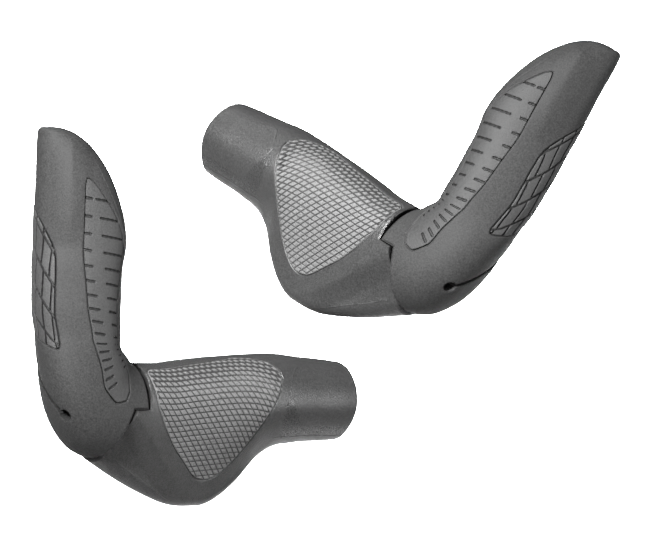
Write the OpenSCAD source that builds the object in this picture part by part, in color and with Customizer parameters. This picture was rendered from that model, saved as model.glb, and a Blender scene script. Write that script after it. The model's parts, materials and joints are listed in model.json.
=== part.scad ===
// Pair of bar end grips: a winged palm grip with a clamped horn on each handlebar end.
// Each grip is drawn once in its own frame and placed as the right one; the left one is its mirror image.
// Grip frame: x along the handlebar towards its end, y forward along the horn, z up towards the palm.

/* [Handlebar fit] */
// Outer diameter of the handlebar
bar_d = 22.2; // [21.8:0.1:22.4]
// Wall of the hard sleeve under the rubber
core_wall = 1.8; // [1.6:0.1:2]
// Wall of the split clamp ring
ring_wall = 1.7; // [1.5:0.1:1.8]
// Radial clearance where one part turns on another
running_gap = 0.05; // [0.03:0.01:0.08]
// Gap between the rubber shell and the bar end
seam_gap = 0.4; // [0.3:0.05:0.6]

/* [Grip] */
// Where the front of the rubber shell ends
seam_x = 107; // [106.5:0.5:108]
// How much wider than drawn the wing reaches back
wing_extra = 0; // [-2:0.5:2]
// Depth of every soft inlay
inlay_depth = 1.6; // [1.2:0.1:1.8]

/* [Bar end] */
// Angle at which the horn's broad face leans outboard
face_lean = 36; // [30:1:38]
// Width of the clamp slit
slit_w = 1.4; // [1:0.1:1.8]
// Direction of the clamp slit, below forward
slit_angle = 42; // [38:1:46]
// Thread diameter of the clamp bolt
bolt_d = 5; // [4:1:5]
// How far the bar end can be turned down from rest
turn_down = 20; // [10:1:20]

/* [Placing of the pair] */
// How far each bar sweeps back
bar_sweep = 38.4; // [30:0.2:40]
// How far the horns point above level
horn_pitch = 66.4; // [60:0.2:70]
// Left grip's bar mouth, right of the right grip's
left_x = 74.1; // [73:0.1:80]
// Left grip's bar mouth, behind the right grip's
left_y = -30.6; // [-34:0.2:-28]
// Left grip's bar mouth, above the right grip's
left_z = -88.6; // [-95:0.2:-86]

/* [Hidden] */
$fn = 64;
e = 0.01;

bar_r = bar_d / 2;
core_r = bar_r + core_wall;
ring_in_r = core_r + running_gap;
ring_r = ring_in_r + ring_wall;
core_end = 132;
ring_start = 110;
ring_end = 131.5;
pocket_end = 133.5;
far = 60;

// Round end of the slit, across the bar axis from its mouth
keyhole_reach = 10;
keyhole_r = 1.9;

// Clamp bolt: where it crosses the slit plane, and its parts along its own axis
bolt_x = 137.4;
bolt_reach = 14.5;
bolt_r = bolt_d / 2;
head_r = 4.25;
head_h = 3.5;
washer_r = 4.9;
washer_t = 1;
washer_seat = -3;
bolt_tip = 9;
nut_w = 8;
nut_t = 3.6;
nut_low = 4.4;
nut_gap = 0.05;

// ---- Smooth curves through a few design points, by their first column ----
function row(t, x, i = 0) = i >= len(t) - 2 || x < t[i + 1][0] ? i : row(t, x, i + 1);
function chord(t, i, c) = (t[i + 1][c] - t[i][c]) / (t[i + 1][0] - t[i][0]);
function slope(t, i, c) =
    i == 0 ? chord(t, 0, c) :
    i == len(t) - 1 ? chord(t, i - 1, c) :
    chord(t, i - 1, c) * chord(t, i, c) <= 0 ? 0 : (chord(t, i - 1, c) + chord(t, i, c)) / 2;
function curve(t, x, c) =
    let (i = row(t, x), h = t[i + 1][0] - t[i][0], u = max(0, min(1, (x - t[i][0]) / h)), v = 1 - u)
    t[i][c] * (1 + 2 * u) * v * v + t[i + 1][c] * (3 - 2 * u) * u * u
    + h * (slope(t, i, c) * u * v * v - slope(t, i + 1, c) * u * u * v);
function between(a, b, n) = [for (k = [0 : n]) a + (b - a) * k / n];

// ---- Closed solid through rings that all have the same number of points ----
module lofted(rings) {
    n = len(rings[0]);
    m = len(rings);
    middles = [for (r = [rings[0], rings[m - 1]]) [for (c = [0 : 2]) sum([for (p = r) p[c]]) / n]];
    points = concat([for (r = rings) each r], middles);
    sides = [for (i = [0 : m - 2], k = [0 : n - 1])
        let (a = i * n + k, b = i * n + (k + 1) % n) each [[a, b, b + n], [a, b + n, a + n]]];
    caps = [for (k = [0 : n - 1])
        each [[(k + 1) % n, k, m * n], [(m - 1) * n + k, (m - 1) * n + (k + 1) % n, m * n + 1]]];
    polyhedron(points, concat(sides, caps));
}
function sum(v, i = 0) = i == len(v) ? 0 : v[i] + sum(v, i + 1);

// Closed slab between two grids of the same size, upper and lower
module slab(upper, lower) {
    m = len(upper);
    n = len(upper[0]);
    points = concat([for (r = upper) each r], [for (r = lower) each r]);
    o = m * n;
    sheets = [for (i = [0 : m - 2], k = [0 : n - 2]) let (a = i * n + k)
        each [[a, a + 1, a + n], [a + 1, a + n + 1, a + n],
              [o + a + n, o + a + 1, o + a], [o + a + n, o + a + n + 1, o + a + 1]]];
    ends = [for (k = [0 : n - 2]) let (b = (m - 1) * n + k)
        each [[k, o + k, o + k + 1], [k, o + k + 1, k + 1], [b, b + 1, o + b + 1], [b, o + b + 1, o + b]]];
    edges = [for (i = [0 : m - 2]) let (a = i * n, b = i * n + n - 1)
        each [[a, a + n, o + a + n], [a, o + a + n, o + a], [b, o + b, o + b + n], [b, o + b + n, b + n]]];
    polyhedron(points, [for (f = concat(sheets, ends, edges)) [f[2], f[1], f[0]]]);
}

// ---- Rubber shell: a tube with a wing ----
// x, front reach, back reach, height above and below the bar axis, wing edge half thickness, wing edge height
shell_form = [
    [0, 15.3, 15.3, 15.3, 15.3, 11, 0],
    [0.8, 16.2, 16.2, 16.2, 16.2, 11.5, 0],
    [3, 16.6, 16.6, 16.6, 16.6, 12, 0],
    [22, 18.3, 17.8, 17.6, 17, 12, 0],
    [36, 19.5, 20.4, 18.2, 17.2, 11, -0.5],
    [44, 19.2, 25.8, 18.3, 17.2, 9.4, -1.5],
    [52, 18.8, 34.8, 18.2, 17.1, 7.6, -2.5],
    [60, 18.2, 41.2, 18, 17, 6.4, -3],
    [70, 17.5, 44.6, 17.7, 16.9, 5.8, -3],
    [83, 16.2, 44.4, 17.3, 16.7, 5.8, -3],
    [96, 14.8, 40.4, 17, 16.6, 6.2, -2.5],
    [109, 14.8, 34.8, 17, 16.6, 7.2, -2],
    [127, 14.8, 25.4, 17.2, 16.8, 9, -1]];
function shell_col(x, c) = curve(shell_form, x, c);
function wing_back(x) = shell_col(x, 2) + wing_extra * max(0, min(1, (x - 36) / 24));
function wing_run(x) = wing_back(x) - shell_col(x, 5);

// The wing edge is a small circle; smooth curves join it to the tube above and below it
function edge_point(x, b) =
    let (r = shell_col(x, 5)) [r * cos(b) - wing_run(x), shell_col(x, 6) + r * sin(b)];
function tangent_angle(x, height) = asin(max(-0.9, min(0.9, (height - shell_col(x, 5)) / wing_run(x))));
function top_angle(x) = 0.92 * tangent_angle(x, shell_col(x, 3) - shell_col(x, 6));
function low_angle(x) =
    (1 - 0.6 * min(1, wing_run(x) / 30)) * tangent_angle(x, shell_col(x, 4) + shell_col(x, 6));
function bezier(p, q, a, b, v) =
    let (h = 0.34 * norm(q - p), w = 1 - v)
    p * w * w * w + (p + a * h) * 3 * w * w * v + (q - b * h) * 3 * w * v * v + q * v * v * v;
function top_curve(x, v) = let (t = top_angle(x))
    bezier([0, shell_col(x, 3)], edge_point(x, 90 + t), [-1, 0], [-cos(t), -sin(t)], v);
function low_curve(x, v) = let (t = low_angle(x))
    bezier(edge_point(x, 270 - t), [0, -shell_col(x, 4)], [cos(t), -sin(t)], [1, 0], v);

// Outline of the shell at x. u runs round it: 0 to 1 front, 1 to 2 top, 2 to 3 wing edge, 3 to 4 below
function shell_yz(x, u) =
    let (w = (u % 4 + 4) % 4, a = 180 * w - 90, from = 90 + top_angle(x), to = 270 - low_angle(x))
    w < 1 ? [shell_col(x, 1) * cos(a), sin(a) * (a > 0 ? shell_col(x, 3) : shell_col(x, 4))] :
    w < 2 ? top_curve(x, w - 1) :
    w < 3 ? edge_point(x, from + (to - from) * (w - 2)) :
    low_curve(x, w - 3);
function shell_point(x, u, off) =
    let (d = 0.02, a = shell_yz(x, u - d), b = shell_yz(x, u + d), t = b - a, p = shell_yz(x, u),
         n = [t[1], -t[0]] / norm(t))
    [x, p[0] + n[0] * off, p[1] + n[1] * off];
function top_solve(x, y, low = 0, high = 1, n = 14) =
    let (v = (low + high) / 2) n == 0 ? v : top_curve(x, v)[0] > y ? top_solve(x, y, v, high, n - 1)
                                                                 : top_solve(x, y, low, v, n - 1);
function u_at(x, y) =
    y >= 0 ? 0.5 + asin(sqrt(max(0, 1 - pow(y / shell_col(x, 1), 2)))) / 180 : 1 + top_solve(x, y);

// Palm pad outline: x, front edge y, back edge y
pad_form = [
    [39.5, 11.6, 9],
    [42.5, 15.2, 2],
    [48, 17, -8],
    [57, 17.4, -23],
    [64, 16.8, -30.6],
    [71, 15.7, -33.8],
    [77, 15, -32.6],
    [85, 14, -26],
    [93, 12.9, -18.4],
    [100, 12.4, -8.5],
    [104, 12, 0],
    [105.6, 10.8, 8]];
pad_start = pad_form[0][0];
pad_end = pad_form[len(pad_form) - 1][0];
pad_x = [for (k = [0 : 22]) pad_start + (pad_end - pad_start) * (1 - cos(180 * k / 22)) / 2];
function pad_u(x, side) = let (c = max(pad_start, min(pad_end, x))) u_at(c, curve(pad_form, c, side));
pad_cells = 10;
round_cells = 30;

// Every inlay is a little shorter than its pocket, and lies just above the pocket's floor
pad_shrink = 0.002;
floor_gap = 0.1;
function pad_grid(off) = [for (x = pad_x)
    [for (u = between(pad_u(x, 1) + pad_shrink, pad_u(x, 2) - pad_shrink, pad_cells)) shell_point(x, u, off)]];

// Ring of the shell: sunk under the pad, plain round the rest
function shell_ring(x, sunk) =
    let (a = pad_u(x, 1), b = pad_u(x, 2))
    concat([for (u = between(a + 4, b, round_cells)) shell_point(x, u, 0)],
           [for (u = between(b, a, pad_cells)) shell_point(x, u, -sunk)]);
shell_start_x = [0, 0.3, 0.8, 3, 9, 16, 23, 29, 34];
shell_end_x = [106.8, 111, 116, 121, 127];
module shell_body() {
    lofted(concat([for (x = shell_start_x) shell_ring(x, 0)],
                  [shell_ring(pad_start - 0.1, 0)],
                  [for (x = pad_x) shell_ring(x, inlay_depth)],
                  [shell_ring(pad_end + 0.1, 0)],
                  [for (x = shell_end_x) shell_ring(x, 0)]));
}

// ---- Seam between shell and bar end: how far out the shell reaches, by angle round the bar ----
// The angle runs from forward (0) over the top (90) to the back (180)
step_top = 106;
step_low = 236;
shoulder_form = [[step_top, 114.5], [130, 118], [155, 122], [185, 125.5], [step_low, 126]];
function shoulder_x(a) = curve(shoulder_form, a, 1);
shell_angles = concat([for (a = [step_low + 0.4 : 11.5 : 360 + step_top - 1]) a],
                      [360 + step_top - 0.4], [for (a = between(step_top, step_low, 32)) 360 + a]);
function shell_end(a) = a < 360 + step_top - 0.2 ? seam_x : shoulder_x(a - 360);
horn_step_top = step_top - 1.6;
horn_step_low = step_low + turn_down + 1.6;
horn_angles = concat([for (a = [horn_step_low + 0.4 : 10.3 : 360 + horn_step_top - 1]) a],
                     [360 + horn_step_top - 0.4],
                     [for (a = between(horn_step_top, horn_step_low, 38)) 360 + a]);
function horn_start(a) =
    seam_gap + (a < 360 + horn_step_top - 0.2 ? seam_x : shoulder_x(max(step_top, a - 360)));

// Thick washer round the bar axis with one flat face and one face that follows the seam
module seam_cutter(angles, reaches, flat_x) {
    inner_r = 6;
    n = len(angles);
    flip = flat_x > seam_x;
    points = [for (k = [0 : n - 1]) each [for (p = [[reaches[k], inner_r], [reaches[k], far], [flat_x, far],
        [flat_x, inner_r]]) [p[0], p[1] * cos(angles[k]), p[1] * sin(angles[k])]]];
    faces = [for (k = [0 : n - 1], j = [0 : 3]) let (a = 4 * k, b = 4 * ((k + 1) % n), i = (j + 1) % 4)
        each (flip ? [[a + j, a + i, b + i], [a + j, b + i, b + j]] :
                     [[b + i, a + i, a + j], [b + j, b + i, a + j]])];
    polyhedron(points, faces);
}

// ---- Bar end: an elbow that turns from the bar into the horn ----
// The rings fan round a pivot at the crotch, and then step forward along the horn.
// position (degrees of turn up to 90, then millimetres along), distance of the ring's middle from the pivot,
// half width, half depth, lean, height of the middle, squareness
pivot_x = 106;
pivot_y = 24;
horn_form = [
    [0, 30.2, 20.4, 17.3, 0, 0, 2],
    [15, 30.9, 21.5, 17.5, 0.05, 0, 2.1],
    [30, 31.2, 22.3, 17.7, 0.15, 0, 2.2],
    [42, 30.1, 21.3, 17.7, 0.25, 0, 2.4],
    [52, 29, 20, 17.5, 0.35, 0, 2.5],
    [64, 27.9, 18.4, 17.1, 0.5, 0, 2.6],
    [77, 27.2, 17.5, 16.5, 0.7, 0, 2.6],
    [90, 27.1, 17.9, 15.8, 0.9, 0, 2.5],
    [104, 28.1, 18.6, 15, 1, 0, 2.4],
    [118, 28.1, 18.9, 14, 1, 0, 2.3],
    [130, 27, 19.5, 13.3, 1, 0, 2.2],
    [139, 27.3, 19.1, 12.8, 1, -0.3, 2.2],
    [150, 28.4, 17.4, 12.2, 1, -1, 2.2],
    [160, 29.9, 15.1, 11.2, 1, -2.3, 2.2],
    [168, 32, 12.4, 9.8, 1, -4, 2.2],
    [174, 34.6, 9.1, 7.8, 1, -5.6, 2.1],
    [177.3, 38, 5, 4.8, 1, -6.6, 2],
    [178, 39.5, 2.6, 2.4, 1, -7, 2]];
horn_end = 178;
function horn_col(v, c) = curve(horn_form, v, c);
function power(x, p) = sign(x) * pow(abs(x), p);
function horn_flat(v, a) =
    let (p = 2 / horn_col(v, 6)) [horn_col(v, 2) * power(cos(a), p), horn_col(v, 3) * power(sin(a), p)];
function horn_point(v, a, off) =
    let (turn = min(v, 90), lean = face_lean * horn_col(v, 4), s = horn_col(v, 1),
         forward = max(0, v - 90),
         middle = [pivot_x + s * (v < 90 ? sin(turn) : 1), pivot_y - s * cos(turn) + forward, horn_col(v, 5)],
         across = [sin(turn) * cos(lean), -cos(turn), -sin(turn) * sin(lean)],
         deep = [sin(lean), 0, cos(lean)],
         t = horn_flat(v, a + 0.5) - horn_flat(v, a - 0.5),
         p = horn_flat(v, a) + [t[1], -t[0]] * off / norm(t))
    middle + across * p[0] + deep * p[1];

// Inlay outlines: position, first and last angle round the ring
inner_form = [[27, 97, 108], [34, 90, 122], [45, 90, 131], [60, 96, 140], [75, 101, 147], [92, 104, 153],
              [110, 100.5, 155], [119, 98, 162], [129, 94, 158], [140, 96, 147], [149, 100, 132],
              [155, 105, 120], [157, 109, 114]];
outer_form = [[84, 58, 63], [87, 43, 67], [92, 15, 66.5], [97, -8, 66], [103, -30, 66], [110, -38, 66],
              [125, -38, 63], [131, -34, 54], [138.5, -26, 36], [144, -12, 14], [146, -4, 3]];
inner_start = inner_form[0][0];
inner_stop = inner_form[len(inner_form) - 1][0];
outer_start = outer_form[0][0];
outer_stop = outer_form[len(outer_form) - 1][0];
function in_range(v, a, b) = v >= a && v <= b;
function edge_angle(form, v, c) = curve(form, max(form[0][0], min(form[len(form) - 1][0], v)), c);
inlay_cells = 7;
inlay_shrink = 0.5;
function horn_ring(v) =
    let (si = in_range(v, inner_start, inner_stop) ? inlay_depth : 0,
         so = in_range(v, outer_start, outer_stop) ? inlay_depth : 0,
         inner = [for (c = [1, 2]) edge_angle(inner_form, v, c)],
         outer = [for (c = [1, 2]) edge_angle(outer_form, v, c)])
    concat([for (a = between(outer[0], outer[1], inlay_cells)) horn_point(v, a, -so)],
           [for (a = between(outer[1], inner[0], 4)) horn_point(v, a, 0)],
           [for (a = between(inner[0], inner[1], inlay_cells)) horn_point(v, a, -si)],
           [for (a = between(inner[1], 360 + outer[0], 16)) horn_point(v, a, 0)]);
horn_steps = concat([0, 9, 18, inner_start - 0.1], [for (v = [inner_start, 30, 34, 39, 45, 52, 60, 68, 76]) v],
                    [outer_start - 0.1, outer_start, 85.5, 87, 89.5, 92, 94.5, 97, 100, 103, 107, 111, 115, 119,
                     124, 129, 134, 138.5, 141.5, 144, outer_stop, outer_stop + 0.1, 149, 152, 155, inner_stop,
                     inner_stop + 0.1, 160, 164, 168, 171, 174, 176, 177.3, horn_end]);
inner_v = [for (v = horn_steps) if (in_range(v, inner_start, inner_stop)) v];
outer_v = [for (v = horn_steps) if (in_range(v, outer_start, outer_stop)) v];

module horn_body() {
    lofted([for (v = horn_steps) horn_ring(v)]);
}

// ---- Placing ----
module along_bar(x) {
    translate([x, 0, 0]) rotate([0, 90, 0]) children();
}
// The slit plane holds the bar axis; here x stays, y points out along the slit and z is the bolt axis
module in_slit() {
    rotate([-slit_angle, 0, 0]) children();
}
module at_bolt() {
    in_slit() translate([bolt_x, bolt_reach, 0]) children();
}
module right() {
    rotate([0, 0, -bar_sweep]) rotate([horn_pitch, 0, 0]) children();
}
module left() {
    translate([left_x, left_y, left_z]) mirror([1, 0, 0]) right() children();
}

// ---- Parts ----
module grip_core() {
    slots = 4;
    slot_from = 113;
    color("#1c1c1d") difference() {
        along_bar(0) cylinder(h = core_end, r = core_r);
        along_bar(-1) cylinder(h = core_end + 2, r = bar_r);
        for (k = [0 : slots - 1]) rotate([45 + 90 * k, 0, 0])
            translate([slot_from, -0.75, bar_r - 1]) cube([core_end, 1.5, core_wall + 2]);
    }
}

module grip_shell() {
    color("#333335") difference() {
        resize([0, 0, 0]) difference() {
            shell_body();
            seam_cutter(shell_angles, [for (a = shell_angles) shell_end(a)], 140);
        }
        along_bar(-1) cylinder(h = 140, r = core_r);
        along_bar(seam_x - 1) cylinder(h = 40, r = ring_r + 0.4);
    }
}

module palm_pad() {
    color("#6f7072") slab(pad_grid(0), pad_grid(floor_gap - inlay_depth));
}

module bar_end() {
    color("#3a3a3c") difference() {
        resize([0, 0, 0]) difference() {
            horn_body();
            seam_cutter(horn_angles, [for (a = horn_angles) horn_start(a)], 60);
        }
        along_bar(seam_x - 2) cylinder(h = ring_end + 0.5 - seam_x + 2, r = ring_r);
        along_bar(seam_x - 2) cylinder(h = pocket_end - seam_x + 2, r = bar_r + 0.4);
        in_slit() translate([seam_x - 4, ring_r - 3, -slit_w / 2]) cube([60, far, slit_w]);
        in_slit() translate([pocket_end - 1, -keyhole_reach, -slit_w / 2]) cube([40, far, slit_w]);
        in_slit() translate([0, -keyhole_reach, 0]) along_bar(pocket_end - 1) cylinder(h = 30, r = keyhole_r);
        at_bolt() translate([0, 0, -30]) cylinder(h = 30 + bolt_tip + 1.5, r = bolt_r + 0.25);
        at_bolt() translate([0, 0, washer_seat - 30]) cylinder(h = 30, r = washer_r + 0.3);
        at_bolt() translate([-nut_w / 2, -nut_w / 2, nut_low]) cube([nut_w, nut_w, nut_t]);
    }
}

module horn_inlay(form, steps) {
    function ends(v) = [edge_angle(form, v, 2) - inlay_shrink, edge_angle(form, v, 1) + inlay_shrink];
    function grid(off) = [for (v = steps)
        let (a = ends(v)) [for (b = between(a[0], a[1], inlay_cells)) horn_point(v, b, off)]];
    slab(grid(0), grid(floor_gap - inlay_depth));
}

module horn_inner_pad() {
    color("#5d5d5f") horn_inlay(inner_form, inner_v);
}

module horn_outer_pad() {
    color("#4c4c4e") horn_inlay(outer_form, outer_v);
}

module clamp_ring() {
    color("#a9abae") difference() {
        along_bar(ring_start) cylinder(h = ring_end - ring_start, r = ring_r);
        along_bar(ring_start - 1) cylinder(h = ring_end - ring_start + 2, r = ring_in_r);
        in_slit() translate([ring_start - 1, 5, -slit_w / 2]) cube([ring_end - ring_start + 2, far, slit_w]);
    }
}

module clamp_nut() {
    color("#b9bbbd") at_bolt() difference() {
        translate([0, 0, nut_low + nut_gap]) linear_extrude(nut_t - 2 * nut_gap)
            square(nut_w - 2 * nut_gap, center = true);
        cylinder(h = 20, r = bolt_r + running_gap);
    }
}

module bolt_washer() {
    color("#c4c6c8") at_bolt() translate([0, 0, washer_seat - washer_t - running_gap]) difference() {
        cylinder(h = washer_t, r = washer_r);
        translate([0, 0, -1]) cylinder(h = washer_t + 2, r = bolt_r + running_gap);
    }
}

module clamp_bolt() {
    seat = washer_seat - washer_t - 2 * running_gap;
    socket_d = 4.62;
    color("#c9cbcd") at_bolt() difference() {
        union() {
            translate([0, 0, seat - e]) cylinder(h = bolt_tip - seat + e, r = bolt_r);
            translate([0, 0, seat - head_h]) cylinder(h = head_h, r = head_r);
        }
        translate([0, 0, seat - head_h - 1]) cylinder(h = 3.2, d = socket_d, $fn = 6);
    }
}

right() grip_core();  // right_grip_core
right() grip_shell();  // right_grip_shell
right() palm_pad();  // right_palm_pad
right() bar_end();  // right_bar_end
right() horn_inner_pad();  // right_horn_inner_pad
right() horn_outer_pad();  // right_horn_outer_pad
right() clamp_ring();  // right_clamp_ring
right() clamp_nut();  // right_clamp_nut
right() bolt_washer();  // right_bolt_washer
right() clamp_bolt();  // right_clamp_bolt
left() grip_core();  // left_grip_core
left() grip_shell();  // left_grip_shell
left() palm_pad();  // left_palm_pad
left() bar_end();  // left_bar_end
left() horn_inner_pad();  // left_horn_inner_pad
left() horn_outer_pad();  // left_horn_outer_pad
left() clamp_ring();  // left_clamp_ring
left() clamp_nut();  // left_clamp_nut
left() bolt_washer();  // left_bolt_washer
left() clamp_bolt();  // left_clamp_bolt
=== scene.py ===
"""Looks of a pair of bar end grips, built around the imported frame.

Each grip is shaped in its own frame, in millimetres: x along the handlebar towards its end, y forward
along the horn, z up towards the palm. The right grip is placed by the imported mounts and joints, and the
left one mirrors it. Materials, lights and the camera are in metres.
"""

import json
import math

import bmesh
import bpy
import numpy as np
from mathutils import Matrix, Vector
from mathutils.kdtree import KDTree


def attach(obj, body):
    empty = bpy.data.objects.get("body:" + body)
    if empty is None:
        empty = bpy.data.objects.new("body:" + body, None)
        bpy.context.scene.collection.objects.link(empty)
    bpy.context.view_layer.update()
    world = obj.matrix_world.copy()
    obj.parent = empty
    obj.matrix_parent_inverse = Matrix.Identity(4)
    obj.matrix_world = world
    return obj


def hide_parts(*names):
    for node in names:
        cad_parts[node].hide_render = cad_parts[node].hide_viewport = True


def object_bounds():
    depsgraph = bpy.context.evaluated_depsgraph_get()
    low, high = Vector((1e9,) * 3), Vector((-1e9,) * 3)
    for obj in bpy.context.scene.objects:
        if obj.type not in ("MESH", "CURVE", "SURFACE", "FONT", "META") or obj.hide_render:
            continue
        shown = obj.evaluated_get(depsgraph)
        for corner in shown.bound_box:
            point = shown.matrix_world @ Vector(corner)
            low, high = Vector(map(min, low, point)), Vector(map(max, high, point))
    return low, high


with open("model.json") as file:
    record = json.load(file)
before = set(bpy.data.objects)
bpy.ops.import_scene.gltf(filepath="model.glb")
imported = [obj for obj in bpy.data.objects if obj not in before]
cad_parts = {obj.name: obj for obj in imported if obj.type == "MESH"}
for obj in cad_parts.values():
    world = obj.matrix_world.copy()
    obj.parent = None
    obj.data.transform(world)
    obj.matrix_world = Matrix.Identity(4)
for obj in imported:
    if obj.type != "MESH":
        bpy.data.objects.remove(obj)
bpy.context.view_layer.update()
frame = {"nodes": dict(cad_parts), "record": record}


# ---- Smooth curves through design points ----
def curve(table, x, column):
    """Smooth curve through one column of a table, by its first column."""
    rows = np.asarray(table, float)
    knots, values = rows[:, 0], rows[:, column]
    chord = np.diff(values) / np.diff(knots)
    inner = np.where(chord[:-1] * chord[1:] <= 0, 0, (chord[:-1] + chord[1:]) / 2)
    slope = np.concatenate([chord[:1], inner, chord[-1:]])
    x = np.asarray(x, float)
    i = np.clip(np.searchsorted(knots, x, side="right") - 1, 0, len(knots) - 2)
    h = knots[i + 1] - knots[i]
    u = np.clip((x - knots[i]) / h, 0, 1)
    v = 1 - u
    ends = values[i] * (1 + 2 * u) * v * v + values[i + 1] * (3 - 2 * u) * u * u
    return ends + h * (slope[i] * u * v * v - slope[i + 1] * u * u * v)


def step(low, high, x):
    """0 below low, 1 above high, smooth between."""
    t = np.clip((np.asarray(x, float) - low) / (high - low), 0, 1)
    return t * t * (3 - 2 * t)


# ---- Rubber shell: outline ----
# x, front reach, back reach, height above and below the bar axis, wing edge's half thickness and height
SHELL = [
    (0, 15.3, 15.3, 15.3, 15.3, 11, 0), (0.8, 16.2, 16.2, 16.2, 16.2, 11.5, 0),
    (3, 16.6, 16.6, 16.6, 16.6, 12, 0), (22, 18.3, 17.8, 17.6, 17, 12, 0),
    (36, 19.5, 20.4, 18.2, 17.2, 11, -0.5), (44, 19.2, 25.8, 18.3, 17.2, 9.4, -1.5),
    (52, 18.8, 34.8, 18.2, 17.1, 7.6, -2.5), (60, 18.2, 41.2, 18, 17, 6.4, -3),
    (70, 17.5, 44.6, 17.7, 16.9, 5.8, -3), (83, 16.2, 44.4, 17.3, 16.7, 5.8, -3),
    (96, 14.8, 40.4, 17, 16.6, 6.2, -2.5), (109, 14.8, 34.8, 17, 16.6, 7.2, -2),
    (127, 14.8, 25.4, 17.2, 16.8, 9, -1)]
# Palm pad outline: x, front edge y, back edge y
PALM = [
    (39.5, 11.6, 9), (42.5, 15.2, 2), (48, 17, -8), (57, 17.4, -23), (64, 16.8, -30.6), (71, 15.7, -33.8),
    (77, 15, -32.6), (85, 14, -26), (93, 12.9, -18.4), (100, 12.4, -8.5), (104, 12, 0), (105.6, 10.8, 8)]
HANDLE = 0.34  # length of a curve's handles against the distance between its ends
WING_LEAN = 0.92  # how much of the straight line's tilt the wing's upper face has at its edge
HALVINGS = 22


def direction(degrees):
    """Unit vectors at the given angles."""
    a = np.radians(degrees)
    return np.stack([np.cos(a), np.sin(a)], -1)


def bezier(p, q, a, b, v):
    """Point at v, from 0 to 1, of a curve from p to q that leaves along a and arrives along b."""
    reach = HANDLE * np.linalg.norm(q - p, axis=-1, keepdims=True)
    v = v[..., None]
    w = 1 - v
    return p * w ** 3 + (p + a * reach) * 3 * w * w * v + (q - b * reach) * 3 * w * v * v + q * v ** 3


def shell_yz(x, u):
    """Outline of the shell at x, for u round it: front up to 1, top to 2, wing edge to 3, below to 4."""
    x, u = np.broadcast_arrays(np.asarray(x, float), np.asarray(u, float))
    w = np.mod(u, 4)
    front, back, up, low, edge, height = (curve(SHELL, x, c) for c in range(1, 7))
    run = back - edge
    zero, one = np.zeros_like(x), np.ones_like(x)
    tilt_up = WING_LEAN * np.degrees(np.arcsin(np.clip((up - height - edge) / run, -0.9, 0.9)))
    tilt_low = (1 - 0.6 * np.minimum(1, run / 30)) * np.degrees(
        np.arcsin(np.clip((low + height - edge) / run, -0.9, 0.9)))

    def edge_point(degrees):
        """Point of the wing's round edge."""
        a = np.radians(degrees)
        return np.stack([edge * np.cos(a) - run, height + edge * np.sin(a)], -1)

    a = np.radians(180 * w - 90)
    rise = np.where(np.sin(a) > 0, up, low)
    front_part = np.stack([front * np.cos(a), np.sin(a) * rise], -1)
    top = bezier(np.stack([zero, up], -1), edge_point(90 + tilt_up), np.stack([-one, zero], -1),
                 -direction(tilt_up), np.clip(w - 1, 0, 1))
    wing = edge_point(90 + tilt_up + (180 - tilt_low - tilt_up) * (w - 2))
    below = bezier(edge_point(270 - tilt_low), np.stack([zero, -low], -1), direction(-tilt_low),
                   np.stack([one, zero], -1), np.clip(w - 3, 0, 1))
    w = w[..., None]
    return np.where(w < 1, front_part, np.where(w < 2, top, np.where(w < 3, wing, below)))


def shell_point(x, u, off=0.0):
    """Point of the shell at x and u, off millimetres outside its skin."""
    x, u = np.broadcast_arrays(np.asarray(x, float), np.asarray(u, float))
    t = shell_yz(x, u + 0.02) - shell_yz(x, u - 0.02)
    normal = np.stack([t[..., 1], -t[..., 0]], -1) / np.linalg.norm(t, axis=-1, keepdims=True)
    p = shell_yz(x, u) + normal * np.broadcast_to(off, x.shape)[..., None]
    return np.concatenate([x[..., None], p], -1)


def palm_edge(x, side):
    """u of the palm pad's front edge (side 1) or back edge (side 2) at x."""
    x = np.clip(np.asarray(x, float), PALM[0][0], PALM[-1][0])
    y = curve(PALM, x, side)
    front = curve(SHELL, x, 1)
    ahead = 0.5 + np.degrees(np.arcsin(np.sqrt(np.clip(1 - (y / front) ** 2, 0, 1)))) / 180
    low, high = np.zeros_like(x), np.ones_like(x)
    for _ in range(HALVINGS):
        middle = (low + high) / 2
        before = shell_yz(x, 1 + middle)[..., 0] > y
        low, high = np.where(before, middle, low), np.where(before, high, middle)
    return np.where(y >= 0, ahead, 1 + middle)


# ---- Bar end: outline ----
# A position along the horn is an angle round the pivot up to QUARTER degrees, then millimetres past it.
QUARTER = 90
PIVOT_X, PIVOT_Y = 106, 24
FACE_LEAN = 36
# position, distance of the middle from the pivot, half width, half depth, lean, height, squareness
HORN = [
    (0, 30.2, 20.4, 17.3, 0, 0, 2), (15, 30.9, 21.5, 17.5, 0.05, 0, 2.1),
    (30, 31.2, 22.3, 17.7, 0.15, 0, 2.2), (42, 30.1, 21.3, 17.7, 0.25, 0, 2.4),
    (52, 29, 20, 17.5, 0.35, 0, 2.5), (64, 27.9, 18.4, 17.1, 0.5, 0, 2.6),
    (77, 27.2, 17.5, 16.5, 0.7, 0, 2.6), (90, 27.1, 17.9, 15.8, 0.9, 0, 2.5),
    (104, 28.1, 18.6, 15, 1, 0, 2.4), (118, 28.1, 18.9, 14, 1, 0, 2.3),
    (130, 27, 19.5, 13.3, 1, 0, 2.2), (139, 27.3, 19.1, 12.8, 1, -0.3, 2.2),
    (150, 28.4, 17.4, 12.2, 1, -1, 2.2), (160, 29.9, 15.1, 11.2, 1, -2.3, 2.2),
    (168, 32, 12.4, 9.8, 1, -4, 2.2), (174, 34.6, 9.1, 7.8, 1, -5.6, 2.1),
    (177.3, 38, 5, 4.8, 1, -6.6, 2), (178, 39.5, 2.6, 2.4, 1, -7, 2)]
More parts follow.
